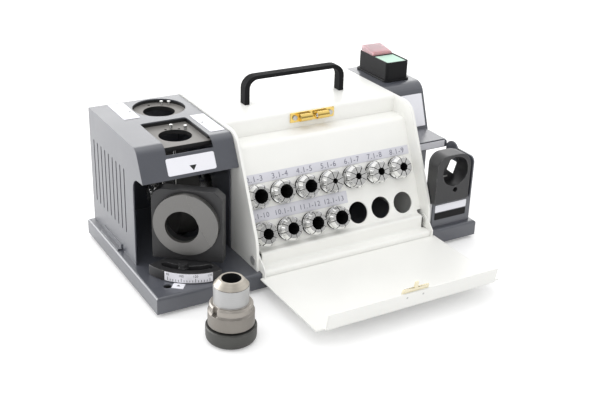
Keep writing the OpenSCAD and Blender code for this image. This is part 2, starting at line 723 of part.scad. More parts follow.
module ear(x) {
  h = [hinge_y, hinge_z];
  d = door_drop;
  difference() {
    union() {
      along_x(x, x + ear_t) polygon([h + [-15.2, -d - door_t/2],
        h + [-hinge_y - door_back, -d - door_t/2], h + [-hinge_y - door_back, -6.3],
        h + [0, -eye_r + 0.05], h, h + [-5, 3.4], h + [-10, 0.3], h + [-15.2, -5]]);
      rod_x(x, x + ear_t, hinge_y, hinge_z, eye_r);
    }
    rod_x(x - 1, x + ear_t + 1, hinge_y, hinge_z, hinge_r + run_gap);
  }
}
module door() place() color([0.95, 0.95, 0.93]) {
  difference() {
    union() {
      along_x(door_x0 + flange_in, door_x1 - flange_in) polygon(sheet(
        [[-door_back, door_out_z], [-door_l, door_out_z], flange_tip], [0, 2.5, 0], -door_t));
      box([door_x0, 3.2 - door_l, door_out_z], [door_x1, -door_back, door_in_z]);
    }
    for (x = strike_x())
      let(p = flange_tip_in - flange_u*4.4) translate([x, p[0], p[1]])
        rotate([-90 + flange_a, 0, 0]) cylinder(r = 1, h = 8, center = true);
  }
  ear(ear_x);
  ear(cx1 - cheek_t - ear_gap - ear_t);
}
function strike_x() = [mid_x - strike_w/2 + 5, mid_x + strike_w/2 - 5];
module strike_piece(a0, a1, w) along_x(mid_x - w/2, mid_x + w/2) let(p = flange_tip_in)
  polygon([p + flange_u*a0, p + flange_u*a1, p + flange_u*a1 + flange_n*strike_t,
    p + flange_u*a0 + flange_n*strike_t]);
module door_strike() place() color([0.8, 0.65, 0.3]) difference() {
  union() {
    strike_piece(-strike_low, strike_up, strike_w);
    strike_piece(0, tongue_up, tongue_w);
  }
  for (x = strike_x()) let(p = flange_tip_in - flange_u*4.4) translate([x, p[0], p[1]])
    rotate([-90 + flange_a, 0, 0]) cylinder(r = 1, h = 8, center = true);
}
module strike_screws() place() color("silver") for (x = strike_x())
  let(p = flange_tip_in - flange_u*4.4) translate([x, p[0], p[1]])
    rotate([-90 + flange_a, 0, 0]) {
      translate([0, 0, -door_t]) cylinder(r = 1, h = door_t + strike_t);
      translate([0, 0, strike_t]) cylinder(r = 2, h = 1);
    }
module door_pins() place() color("silver") {
  x0 = cx0;
  x1 = ear_x + ear_t + ear_gap;
  rod_x(x0 - pin_head_t, x0, hinge_y, hinge_z, 4.2);
  rod_x(x0, x1, hinge_y, hinge_z, hinge_r);
  rod_x(x1, x1 + pin_head_in, hinge_y, hinge_z, 3.8);
  x3 = cx1;
  x2 = cx1 - cheek_t - 2*ear_gap - ear_t;
  rod_x(x3, x3 + pin_head_t, hinge_y, hinge_z, 4.2);
  rod_x(x2, x3, hinge_y, hinge_z, hinge_r);
  rod_x(x2 - pin_head_in, x2, hinge_y, hinge_z, 3.8);
}
function catch_x() = [mid_x - catch_w/2 + 4.2, mid_x + catch_w/2 - 4.2];
module catch_body() place() color([0.8, 0.65, 0.3]) difference() {
  union() {
    box([mid_x - catch_w/2, step_y - catch_plate, catch_z - catch_h/2],
      [mid_x + catch_w/2, step_y, catch_z + catch_h/2]);
    for (s = [0, 1]) mirror_x(s) rod_x(mid_x + mouth_gap/2, mid_x + mouth_gap/2 + barrel_l,
      barrel_y, catch_z, barrel_r_out);
    for (s = [0, 1]) mirror_x(s) box([mid_x + mouth_gap/2, barrel_y, catch_z - barrel_r_out],
      [mid_x + mouth_gap/2 + barrel_l, step_y - 0.5, catch_z + barrel_r_out]);
  }
  for (s = [0, 1]) mirror_x(s) rod_x(mid_x + mouth_gap/2 - 1, mid_x + mouth_gap/2 + 8,
    barrel_y, catch_z, ball_r + 0.2);
  for (x = catch_x()) rod_y(step_y - 3, step_y + 1, x, catch_z, 1.2);
}
module mirror_x(s) {
  if (s == 0) children();
  else translate([2*mid_x, 0, 0]) mirror([1, 0, 0]) children();
}
module catch_screws() place() color("silver") for (x = catch_x()) {
  rod_y(step_y - catch_plate, step_y + cheek_t, x, catch_z, 1.2);
  rod_y(step_y - catch_plate - 1.3, step_y - catch_plate, x, catch_z, 2.3);
}
module ball(s) mirror_x(s) translate([mid_x + ball_gap/2 + ball_r, barrel_y, catch_z])
  sphere(r = ball_r);
module catch_balls_left() place() color("silver") ball(1);
module catch_balls_right() place() color("silver") ball(0);

// ---- motor cover and switch ----

cover_path = [[yb, zb], [yb, cz], [cover_front, cz], [cover_face, zb + cover_low],
  [cover_face, zb]];
cover_r = [0, 4, 13, 3, 0];
cover_u = unit(cover_path[2] - cover_path[3]);
cover_n = perp(cover_u);
module motor_cover() place() color("slategray") difference() {
  union() {
    along_x(cx1, mx1) polygon(sheet(cover_path, cover_r, sheet_t));
    along_x(mx1 - sheet_t, mx1) polygon(soft_path(cover_path, cover_r));
  }
  box([sw_x + 1.7, switch_y + 1.7, cz - 5], [sw_x + switch_w - 1.7, switch_y + switch_l - 1.7,
    cz + 1]);
}
module cover_labels() place() color("lavender") {
  let(p = cover_path[3] + cover_u*6.5, q = cover_path[3] + cover_u*38.5)
    along_x(cx1 + 2.5, mx1 - 2.5)
      polygon([p, q, q + cover_n*label_t, p + cover_n*label_t]);
  box([cx1 + 3, cover_face - shelf_l - label_t, zb + shelf_up - shelf_h + 1],
    [mx1 - 3.5, cover_face - shelf_l, zb + shelf_up - 0.8]);
}
function well(y0, y1, z0, z1) = [[sw_x + well_wall, y0, z0],
  [sw_x + switch_w - well_wall, y1, z1]];
module switch_box() place() color([0.1, 0.1, 0.1]) difference() {
  union() {
    translate([0, 0, cz]) linear_extrude(2) polygon(soft_loop(
      [[sw_x - 2, switch_y - 2], [sw_x + switch_w + 1.2, switch_y - 2],
       [sw_x + switch_w + 1.2, switch_y + switch_l + 2], [sw_x - 2, switch_y + switch_l + 2]],
      [4, 4, 4, 4]));
    translate([0, 0, cz]) linear_extrude(switch_h) polygon(soft_loop(
      [[sw_x, switch_y], [sw_x + switch_w, switch_y],
       [sw_x + switch_w, switch_y + switch_l], [sw_x, switch_y + switch_l]], [3, 3, 3, 3]));
    box([sw_x + 2, switch_y + 2, cz - sw_lower], [sw_x + switch_w - 2, switch_y + switch_l - 2,
      cz]);
  }
  let(a = well(switch_y + well_wall, well_mid - 0.5, sw_z - 8, sw_z + 1)) box(a[0], a[1]);
  let(a = well(well_mid + 0.5, switch_y + switch_l - well_wall, sw_z - 8, sw_z + 1))
    box(a[0], a[1]);
}
module start_button() place() color([0.35, 0.7, 0.5])
  let(a = well(switch_y + well_wall, well_mid - 0.5, sw_z - 8 + press + 0.5, sw_z - 0.5))
    box(a[0] + [btn_gap, btn_gap, 0], a[1] - [btn_gap, btn_gap, 0]);
module stop_button() place() color([0.8, 0.2, 0.25])
  let(a = well(well_mid + 0.5, switch_y + switch_l - well_wall, sw_z - 8 + press + 0.5, sw_z),
    y0 = a[0][1] + btn_gap, y1 = a[1][1] - btn_gap, z0 = a[0][2])
    along_x(a[0][0] + btn_gap, a[1][0] - btn_gap) polygon(soft_loop(
      [[y0, z0], [y1, z0], [y1, sw_z + 4], [y1 - 2, sw_z + 6.4], [y0 + 6, sw_z + 6.4],
       [y0, sw_z + 2.4]], [0, 0, 1, 1.5, 1.5, 1]));

// ---- shelf and setting station ----

module shelf_box() place() color("slategray") difference() {
  along_y(cover_face - shelf_l, cover_face) polygon(
    [[cx1 + 0.3, zb + shelf_up - shelf_h], [mx1 - 0.4, zb + shelf_up - shelf_h],
     [mx1 - 0.4, zb + shelf_up - 3], [mx1 - 3.4, zb + shelf_up], [cx1 + 0.3, zb + shelf_up]]);
  box([cx1 + 1.5, cover_face - shelf_l + 1.2, zb + shelf_up - shelf_h - 1],
    [mx1 - 4, cover_face - 1.2, zb + shelf_up - 1.2]);
}
module setting_bracket() place() color("slategray") {
  along_x(bracket_x0, bracket_x1) polygon(sheet(
    [[apron_y, zb], [apron_y, set_z0], [apron_y + 24, set_z0]], [0, 2, 0], -bracket_t));
  along_x(bracket_x1 - bracket_t, bracket_x1) polygon(soft_loop(
    [[apron_y, zb], [side_back, zb], [side_back, zb + 30], [apron_y + 22, zb + 30],
     [apron_y + 22, zb + 51.5], [side_back, zb + 51.5], [side_back, zb + side_h],
     [apron_y, zb + side_h]], [0, 0, 1, 4, 4, 0, 1, 6]));
  rod_x(bracket_x1 - bracket_t, bracket_x1, side_back - 8.5, zb + side_h - 4.2, 8.5);
}
module setting_block() place() color([0.29, 0.29, 0.3]) difference() {
  along_y(set_y0, set_y0 + set_d) polygon(soft_loop(
    [[set_x0, set_z0], [set_x0 + set_w, set_z0], [set_x0 + set_w, set_z0 + set_h],
     [set_x0, set_z0 + set_h]], [0, 0, 14, 12], 10));
  rod_y(set_y0 - 1, set_y0 + set_d + 1, set_cx, set_z, set_bore);
  rod_y(set_y0 - 1, set_y0 + 6, set_cx + 1.5, set_z - 18.9, 2.5);
}
module setting_vee() place() color([0.4, 0.4, 0.41]) difference() {
  along_y(set_y0 + set_d, set_y0 + set_d + 4) polygon(soft_loop(
    [[set_x0 + 3, set_z - 17], [set_x0 + set_w - 2, set_z - 17],
     [set_x0 + set_w - 2, set_z0 + set_h - 1], [set_x0 + 3, set_z0 + set_h - 1]],
    [0, 0, 12, 11], 8));
  along_y(set_y0 + set_d - 1, set_y0 + set_d + 5) polygon(
    [[set_cx + 0.6, set_z - 3.4], [set_cx + 11.5, set_z - 11.5], [set_cx + 15.4, set_z + 0.5],
     [set_cx + 12.5, set_z + 6.2], [set_cx + 4.7, set_z + 7.1]]);
  box([set_cx - 12.2, set_y0 + set_d - 1, set_z - 11],
    [set_cx + 2.2, set_y0 + set_d + 2.5, set_z - 9.2]);
}
module setting_stop() place() color("silver")
  box([set_cx - 12, set_y0 + set_d + 0.1, set_z - 11],
    [set_cx + 2, set_y0 + set_d + 2.5, set_z - 9.4]);

// ---- motor and wheel ----

module motor_housing() place() color("gray") difference() {
  rod_x(mot_x0, mot_x1, axis_y, axis_z, motor_r);
  rod_x(mot_x0 + bell_t, mot_x1 - bell_t, axis_y, axis_z, motor_r - 3);
  rod_x(mot_x0 - 1, mot_x1 + 1, axis_y, axis_z, shaft_r + 1);
  rod_x(mot_x0 + 2, mot_x1 - 2, axis_y, axis_z, shaft_r + 8);
}
module motor_stator() place() color("peru") difference() {
  rod_x(mot_x0 + bell_t + 10, mot_x1 - bell_t - 10, axis_y, axis_z, motor_r - 3);
  rod_x(mot_x0, mot_x1, axis_y, axis_z, 24.5);
}
module motor_bearings() place() color("silver") for (x = [mot_x0 + 2, mot_x1 - 10])
  difference() {
    rod_x(x, x + 8, axis_y, axis_z, shaft_r + 8);
    rod_x(x - 1, x + 9, axis_y, axis_z, shaft_r + run_gap);
  }
module motor_cradles() place() color("dimgray") difference() {
  for (x = [mot_x0 + 14, mot_x1 - 26])
    box([x, axis_y - 26, zb], [x + 12, axis_y + 26, axis_z - 18]);
  rod_x(mot_x0 - 1, mot_x1 + 1, axis_y, axis_z, motor_r);
}
module rotor_shaft() place() color("silver") {
  rod_x(shaft_x0, shaft_x1, axis_y, axis_z, shaft_r);
}
module rotor_core() place() color("gray") difference() {
  rod_x(mot_x0 + bell_t + 10, mot_x1 - bell_t - 10, axis_y, axis_z, 24.2);
  rod_x(mot_x0, mot_x1, axis_y, axis_z, shaft_r);
}
module grinding_wheel() place() color([0.85, 0.83, 0.8]) difference() {
  rod_x(wheel_x - wheel_w/2, wheel_x + wheel_w/2, axis_y, axis_z, wheel_r);
  rod_x(wheel_x - wheel_w, wheel_x + wheel_w, axis_y, axis_z, shaft_r);
}
module wheel_flanges() place() color("silver") difference() {
  union() {
    for (x = [wheel_x - wheel_w/2 - flange_t, wheel_x + wheel_w/2])
      rod_x(x, x + flange_t, axis_y, axis_z, 16);
    rod_x(wheel_x - wheel_w/2 - flange_t - 7, wheel_x - wheel_w/2 - flange_t, axis_y, axis_z, 10);
  }
  rod_x(shaft_x0 - 1, wheel_x + wheel_w, axis_y, axis_z, shaft_r);
}

// ---- chuck ----

module on_chuck() translate([chuck_x, -chuck_y, 0]) children();
module chuck_body() place() color([0.6, 0.58, 0.55]) on_chuck() difference() {
  rotate_extrude() polygon([[chuck_bore, 3.5], [13, 3.5], [13, nut_h], [16, nut_h],
    [16, nut_h + 1.7], [body_r, nut_h + 1.7], [body_r, nut_h + 12.9], [body_r - 1.3, nut_h + 14.4],
    [body_r - 1.3, nut_h + 18.9], [body_r - 2.4, nut_h + 20.2], [barrel_r, nut_h + 20.2],
    [barrel_r, chuck_h - 5.4], [9.6, chuck_h], [chuck_bore, chuck_h]]);
  rotate([0, 0, 196]) translate([body_r - 4.2, -2.6, nut_h + 13]) cube([6, 5.2, 10]);
}
module chuck_nut() place() color([0.33, 0.33, 0.31]) on_chuck() rotate_extrude() polygon(
  concat([[10, 0], [nut_r - 6, 0]],
    [for (a = [10:20:90]) [nut_r - 5 + 5*sin(a), 5 - 5*cos(a)]],
    [[nut_r, nut_h - 0.8], [nut_r - 0.8, nut_h], [13.3, nut_h], [13.3, 3.5], [10, 3.5]]));

base_plate();
rubber_feet();
grinder_housing();
grinder_bulkhead();
round_port_plate();
square_port_plate();
port_pins();
stop_post();
grinder_labels();
swivel_block();
swivel_ring();
swivel_arc_plate();
swivel_scale();
swivel_pivot_pin();
swivel_clamp_screw();
pointer_plate();
cabinet_shell();
collet_rack();
rack_labels();
collet_01();
collet_02();
collet_03();
collet_04();
collet_05();
collet_06();
collet_07();
collet_08();
collet_09();
collet_10();
collet_11();
carry_handle();
handle_screws();
door();
door_strike();
strike_screws();
door_pins();
catch_body();
catch_screws();
catch_balls_left();
catch_balls_right();
motor_cover();
cover_labels();
switch_box();
start_button();
stop_button();
shelf_box();
setting_bracket();
setting_block();
setting_vee();
setting_stop();
motor_housing();
motor_stator();
motor_bearings();
motor_cradles();
rotor_shaft();
rotor_core();
grinding_wheel();
wheel_flanges();
chuck_body();
chuck_nut();
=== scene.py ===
import json
import math

import bmesh
import bpy
from mathutils import Matrix, Vector

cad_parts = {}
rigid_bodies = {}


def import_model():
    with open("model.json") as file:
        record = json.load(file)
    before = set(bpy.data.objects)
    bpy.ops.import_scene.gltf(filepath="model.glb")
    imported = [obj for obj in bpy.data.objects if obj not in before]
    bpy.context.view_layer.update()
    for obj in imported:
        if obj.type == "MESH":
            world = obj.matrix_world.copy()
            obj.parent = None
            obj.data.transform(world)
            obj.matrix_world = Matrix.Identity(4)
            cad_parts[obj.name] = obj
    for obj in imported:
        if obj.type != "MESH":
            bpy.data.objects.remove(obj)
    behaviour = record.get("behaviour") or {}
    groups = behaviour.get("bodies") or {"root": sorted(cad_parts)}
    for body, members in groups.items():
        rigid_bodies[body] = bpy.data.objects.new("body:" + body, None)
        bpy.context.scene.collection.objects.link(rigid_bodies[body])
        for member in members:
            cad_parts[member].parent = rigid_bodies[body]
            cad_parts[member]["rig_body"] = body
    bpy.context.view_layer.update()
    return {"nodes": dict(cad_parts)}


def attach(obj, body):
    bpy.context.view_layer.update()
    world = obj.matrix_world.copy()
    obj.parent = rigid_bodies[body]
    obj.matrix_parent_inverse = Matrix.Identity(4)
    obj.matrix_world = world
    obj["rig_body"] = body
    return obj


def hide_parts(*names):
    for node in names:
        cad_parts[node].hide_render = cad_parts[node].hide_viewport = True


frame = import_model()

nodes = frame["nodes"]
scene = bpy.context.scene
rad = math.radians

# The maker's frame: millimetres from the base's left end, its front edge and the table
HALF_LENGTH = 165.0
MIDDLE_DEPTH = 33.28742
# Heights, slants, corners and axes in that frame
GRINDER_TOP = 128.7
SLANT_RUN, SLANT_DROP = 13.3, 26.4
COVER_FOOT, COVER_HEAD = Vector((78.0, 84.0)), Vector((94.9, 130.4))
VENTS_LOW, VENTS_HIGH = (30, 38.2), (160, 128.2)
CHUCK_AT = (40.7, -53.1)
CHUCK_BORE_RADIUS = 8.1
MOTOR_AXIS = (165, 103, 61.8)
SWIVEL_AT = (56.5, 53.5)
SETTING_X, APRON_Y = 301.0, 5.0
# The collets, the part of each that stands close to its panel and gets painted shade, and the
# panel itself
COLLETS = ["collet_%02d" % k for k in range(1, 12)]
COLLET_NECK = 2.8
RACK_SLOPE = rad(64.94)
RACK_FOOT = (18.83, 37.38)
RACK_OUT = Vector((0, -math.sin(RACK_SLOPE), math.cos(RACK_SLOPE)))
SWIVEL_TURN = rad(-38)


def at(x, y, z):
    """A point of the maker's frame, in metres in the shared frame."""
    return Vector(((x - HALF_LENGTH) / 1000, (y - MIDDLE_DEPTH) / 1000, z / 1000))


def place(x, y, z, turn=None):
    """Matrix that puts millimetre work at a point, turned by a rotation."""
    m = Matrix.Translation(at(x, y, z))
    if turn is not None:
        m = m @ turn.to_4x4()
    return m @ Matrix.Scale(0.001, 4)


def on_rack(x, s, out=0.0):
    """Matrix of a spot on the rack panel: X to the right, Y up the panel, Z out of it."""
    y = RACK_FOOT[0] + s * math.cos(RACK_SLOPE) - out * math.sin(RACK_SLOPE)
    z = RACK_FOOT[1] + s * math.sin(RACK_SLOPE) + out * math.cos(RACK_SLOPE)
    return place(x, y, z, Matrix.Rotation(RACK_SLOPE, 3, "X"))


def on_swivel():
    """Matrix of the swivel's own frame, whose -Y points out of its port."""
    return place(*SWIVEL_AT, 0, Matrix.Rotation(SWIVEL_TURN, 3, "Z"))


# ---------------------------------------------------------------- node groups


def new_group(name, takes, gives):
    """A node group with its inputs and outputs, and its two end nodes' sockets."""
    tree = bpy.data.node_groups.new(name, "ShaderNodeTree")
    for label, kind, value in takes:
        socket = tree.interface.new_socket(label, in_out="INPUT", socket_type=kind)
        if value is not None:
            socket.default_value = value
    for label, kind in gives:
        tree.interface.new_socket(label, in_out="OUTPUT", socket_type=kind)
    return tree, tree.nodes.new("NodeGroupInput").outputs, tree.nodes.new("NodeGroupOutput").inputs


def put(tree, kind, inputs=None, **settings):
    """A shader node with its settings, and its inputs as values or as links."""
    node = tree.nodes.new("ShaderNode" + kind)
    for key, value in settings.items():
        setattr(node, key, value)
    for key, value in (inputs or {}).items():
        if isinstance(value, bpy.types.NodeSocket):
            tree.links.new(value, node.inputs[key])
        else:
            node.inputs[key].default_value = value
    return node


def maths(tree, operation, a, b=0.0, clamp=False):
    """Sum, product or the like of two values or sockets."""
    return put(tree, "Math", {0: a, 1: b}, operation=operation, use_clamp=clamp).outputs[0]


def spread(tree, value, low, high, to_low=0.0, to_high=1.0):
    """A value stretched from one range to another."""
    return put(tree, "MapRange", {"Value": value, "From Min": low, "From Max": high,
                                  "To Min": to_low, "To Max": to_high}).outputs["Result"]


def rubbed_and_lit_edges():
    """Edges lightened for rubbing wear and, in some finishes, as painted highlights, and a normal
    that rounds the edge.
    """
    tree, take, give = new_group(
        "rubbed_and_lit_edges",
        [("Radius", "NodeSocketFloat", 0.0005), ("Breakup", "NodeSocketFloat", 260.0),
         ("Amount", "NodeSocketFloat", 0.5)],
        [("Mask", "NodeSocketFloat"), ("Normal", "NodeSocketVector")])
    round_off = put(tree, "Bevel", {"Radius": take["Radius"]}, samples=6)
    flat = put(tree, "NewGeometry").outputs["Normal"]
    same = put(tree, "VectorMath", {0: round_off.outputs[0], 1: flat}, operation="DOT_PRODUCT")
    edge = spread(tree, same.outputs["Value"], 0.995, 0.9)
    where = put(tree, "TexCoord").outputs["Object"]
    noise = put(tree, "TexNoise", {"Vector": where, "Scale": take["Breakup"], "Detail": 3.0})
    broken = spread(tree, noise.outputs["Fac"], 0.4, 0.65)
    mask = maths(tree, "MULTIPLY", maths(tree, "MULTIPLY", edge, broken), take["Amount"], True)
    tree.links.new(mask, give["Mask"])
    tree.links.new(round_off.outputs[0], give["Normal"])
    return tree


def powder_coat():
    """Fine orange peel of a sprayed coat, with a slow change of tone."""
    tree, take, give = new_group(
        "powder_coat",
        [("Scale", "NodeSocketFloat", 1400.0), ("Cloud", "NodeSocketFloat", 22.0)],
        [("Height", "NodeSocketFloat"), ("Tone", "NodeSocketFloat")])
    where = put(tree, "TexCoord").outputs["Object"]
    peel = put(tree, "TexNoise", {"Vector": where, "Scale": take["Scale"], "Detail": 2.0,
                                  "Roughness": 0.55})
    specks = put(tree, "TexVoronoi", {"Vector": where, "Scale": take["Scale"]})
    cloud = put(tree, "TexNoise", {"Vector": where, "Scale": take["Cloud"], "Detail": 4.0})
    height = maths(tree, "ADD", peel.outputs["Fac"],
                   maths(tree, "MULTIPLY", specks.outputs["Distance"], 0.35))
    tree.links.new(height, give["Height"])
    tone = maths(tree, "ADD", maths(tree, "MULTIPLY", cloud.outputs["Fac"], 0.7),
                 maths(tree, "MULTIPLY", peel.outputs["Fac"], 0.3))
    tree.links.new(tone, give["Tone"])
    return tree


def turning_marks():
    """Rings that a lathe tool leaves round the local Z axis."""
    tree, take, give = new_group(
        "turning_marks",
        [("Vector", "NodeSocketVector", None), ("Pitch", "NodeSocketFloat", 1500.0)],
        [("Height", "NodeSocketFloat"), ("Tone", "NodeSocketFloat")])
    parts = put(tree, "SeparateXYZ", {0: take["Vector"]})
    flat = put(tree, "CombineXYZ", {0: parts.outputs[0], 1: parts.outputs[1]})
    radius = put(tree, "VectorMath", {0: flat.outputs[0]}, operation="LENGTH").outputs["Value"]
    along = maths(tree, "ADD", radius, maths(tree, "MULTIPLY", parts.outputs[2], 1.13))
    fine = put(tree, "TexNoise", {"W": maths(tree, "MULTIPLY", along, take["Pitch"]),
                                  "Scale": 1.0, "Detail": 3.0}, noise_dimensions="1D")
    blotch = put(tree, "TexNoise", {"Vector": take["Vector"], "Scale": 90.0, "Detail": 4.0})
    tree.links.new(fine.outputs["Fac"], give["Height"])
    tone = maths(tree, "ADD", maths(tree, "MULTIPLY", fine.outputs["Fac"], 0.55),
                 maths(tree, "MULTIPLY", blotch.outputs["Fac"], 0.45))
    tree.links.new(tone, give["Tone"])
    return tree


def brushed_lines():
    """Straight fine lines along the local X axis."""
    tree, take, give = new_group(
        "brushed_lines",
        [("Vector", "NodeSocketVector", None), ("Scale", "NodeSocketFloat", 60.0)],
        [("Height", "NodeSocketFloat"), ("Tone", "NodeSocketFloat")])
    long_way = put(tree, "VectorMath", {0: take["Vector"], 1: (1.0, 38.0, 38.0)},
                   operation="MULTIPLY")
    fine = put(tree, "TexNoise", {"Vector": long_way.outputs[0], "Scale": take["Scale"],
                                  "Detail": 4.0, "Roughness": 0.6})
    blotch = put(tree, "TexNoise", {"Vector": take["Vector"], "Scale": 45.0, "Detail": 3.0})
    tree.links.new(fine.outputs["Fac"], give["Height"])
    tone = maths(tree, "ADD", maths(tree, "MULTIPLY", fine.outputs["Fac"], 0.6),
                 maths(tree, "MULTIPLY", blotch.outputs["Fac"], 0.4))
    tree.links.new(tone, give["Tone"])
    return tree


def cast_skin():
    """Rough skin of a casting or of pressed grit."""
    tree, take, give = new_group(
        "cast_skin",
        [("Scale", "NodeSocketFloat", 500.0)],
        [("Height", "NodeSocketFloat"), ("Tone", "NodeSocketFloat")])
    where = put(tree, "TexCoord").outputs["Object"]
    pits = put(tree, "TexVoronoi", {"Vector": where, "Scale": take["Scale"]}, feature="SMOOTH_F1")
    rough = put(tree, "TexNoise", {"Vector": where, "Scale": take["Scale"], "Detail": 5.0})
    height = maths(tree, "ADD", maths(tree, "MULTIPLY", pits.outputs["Distance"], 0.5),
                   rough.outputs["Fac"])
    tree.links.new(height, give["Height"])
    blotch = put(tree, "TexNoise", {"Vector": where, "Scale": 55.0, "Detail": 4.0})
    tone = maths(tree, "ADD", maths(tree, "MULTIPLY", rough.outputs["Fac"], 0.4),
                 maths(tree, "MULTIPLY", blotch.outputs["Fac"], 0.6))
    tree.links.new(tone, give["Tone"])
    return tree


RUBBED_AND_LIT, COAT, TURNED, BRUSHED, CAST = (
    rubbed_and_lit_edges(), powder_coat(), turning_marks(), brushed_lines(), cast_skin())


def use(tree, group, **inputs):
    """Outputs of a group placed in a material."""
    node = tree.nodes.new("ShaderNodeGroup")
    node.node_tree = group
    for key, value in inputs.items():
        if isinstance(value, bpy.types.NodeSocket):
            tree.links.new(value, node.inputs[key])
        else:
            node.inputs[key].default_value = value
    return node.outputs


def opaque(colour):
    return tuple(colour) + (1.0,)


def finish(name, colour, pattern="coat", rough=0.4, rough_change=0.08, metal=0.0, change=0.08,
           depth=0.00002, scale=1400.0, edge=0.0005, worn_and_lit_colour=None, wear_and_highlight=0.0, centre=(0, 0, 0),
           turn=(0, 0, 0), bands=None, low=0.0, tall=60.0, gloss=0.5, coat=0.0,
           coat_rough=0.1, clear=0.0, ior=1.5):
    """A finish from one of the patterns, with edges lightened for rubbing wear and, in some
    finishes, as painted highlights.

    Bands are (height in millimetres, colour) pairs. Each colour runs up the Z axis from
    its height to the next one's, between the heights low and low + tall.
    """
    material = bpy.data.materials.new(name)
    material.use_nodes = True
    tree = material.node_tree
    shader = tree.nodes["Principled BSDF"]
    shader.inputs["Metallic"].default_value = metal
    shader.inputs["Specular IOR Level"].default_value = gloss
    shader.inputs["IOR"].default_value = ior
    shader.inputs["Coat Weight"].default_value = coat
    shader.inputs["Coat Roughness"].default_value = coat_rough
    shader.inputs["Transmission Weight"].default_value = clear
    where = put(tree, "TexCoord").outputs["Object"]
    if pattern in ("turned", "brushed"):
        local = put(tree, "Mapping", {"Vector": where, "Location": centre, "Rotation": turn},
                    vector_type="TEXTURE").outputs[0]
    if pattern == "turned":
        marks = use(tree, TURNED, Vector=local, Pitch=scale)
    elif pattern == "brushed":
        marks = use(tree, BRUSHED, Vector=local, Scale=scale)
    elif pattern == "cast":
        marks = use(tree, CAST, Scale=scale)
    else:
        marks = use(tree, COAT, Scale=scale)
    # Edge mask for rubbing wear, and for painted highlights where a finish lightens its edges
    # strongly
    edge_wear_and_highlight = use(tree, RUBBED_AND_LIT, Radius=edge, Amount=wear_and_highlight)
    base = put(tree, "RGB").outputs[0]
    base.default_value = opaque(colour)
    if bands:
        ramp = put(tree, "ValToRGB", {"Fac": spread(
            tree, put(tree, "SeparateXYZ", {0: where}).outputs[2],
            low / 1000, (low + tall) / 1000)})
        ramp.color_ramp.interpolation = "CONSTANT"
        points = ramp.color_ramp.elements
        while len(points) > 1:
            points.remove(points[-1])
        points[0].position, points[0].color = 0.0, opaque(bands[0][1])
        for height, tint in bands[1:]:
            point = points.new((height - low) / tall)
            point.color = opaque(tint)
        base = ramp.outputs["Color"]
    tone = spread(tree, marks["Tone"], 0.3, 0.7, 1.0 - change, 1.0 + change)
    toned = put(tree, "VectorMath", {0: base, "Scale": tone}, operation="SCALE").outputs[0]
    mixed = put(tree, "Mix", {0: edge_wear_and_highlight["Mask"], 6: toned, 7: opaque(worn_and_lit_colour or colour)},
                data_type="RGBA").outputs[2]
    tree.links.new(mixed, shader.inputs["Base Color"])
    roughness = spread(tree, marks["Tone"], 0.3, 0.7, rough - rough_change, rough + rough_change)
    tree.links.new(roughness, shader.inputs["Roughness"])
    bump = put(tree, "Bump", {"Height": marks["Height"], "Distance": depth, "Strength": 1.0,
                              "Normal": edge_wear_and_highlight["Normal"]})
    tree.links.new(bump.outputs[0], shader.inputs["Normal"])
    return material


def turned_about(x, y, z, axis="Z"):
    """Centre and rotation of a lathe pattern round an axis, for a finish."""
    turn = {"X": (0, rad(90), 0), "Z": (0, 0, 0)}[axis]
    return {"centre": tuple(at(x, y, z)), "turn": turn}


GREY_PAINT = finish("grey_powder_coat", (0.082, 0.087, 0.104), rough=0.4, depth=0.00002,
                    scale=1500, worn_and_lit_colour=(0.2, 0.21, 0.23), wear_and_highlight=0.35, coat=1.0, coat_rough=0.24)
WHITE_PAINT = finish("white_powder_coat", (0.9, 0.9, 0.87), rough=0.38, depth=0.00002,
                     scale=1600, change=0.02, worn_and_lit_colour=(0.9, 0.9, 0.88), wear_and_highlight=0.2, coat=0.15,
                     coat_rough=0.25)
RUBBER = finish("foot_rubber", (0.022, 0.022, 0.022), "cast", rough=0.75, depth=0.00004,
                scale=700, worn_and_lit_colour=(0.06, 0.06, 0.06), wear_and_highlight=0.4)
# Its strongly lightened edges are painted highlights on the chamfers as well as wear
CAST_DARK = finish("blackened_casting", (0.038, 0.038, 0.04), "cast", rough=0.45,
                   rough_change=0.1, metal=0.3, depth=0.00002, scale=900, change=0.15,
                   edge=0.0008, worn_and_lit_colour=(0.3, 0.3, 0.3), wear_and_highlight=0.9, coat=0.3, coat_rough=0.3)
RING_STEEL = finish("ring_steel", (0.23, 0.226, 0.22), "cast", rough=0.38, metal=0.8,
                    depth=0.000012, scale=1200, change=0.07, worn_and_lit_colour=(0.6, 0.58, 0.55), wear_and_highlight=0.7)
COLLET_STEEL = finish("collet_steel", (0.88, 0.88, 0.87), "brushed", rough=0.15,
                      rough_change=0.05, metal=0.85, depth=0.000008, scale=70, edge=0.0003,
                      worn_and_lit_colour=(0.95, 0.95, 0.95), wear_and_highlight=0.5)
BRIGHT_STEEL = finish("bright_steel", (0.74, 0.74, 0.73), "brushed", rough=0.2, metal=1.0,
                      depth=0.000008, scale=80, worn_and_lit_colour=(0.95, 0.95, 0.95), wear_and_highlight=0.5)
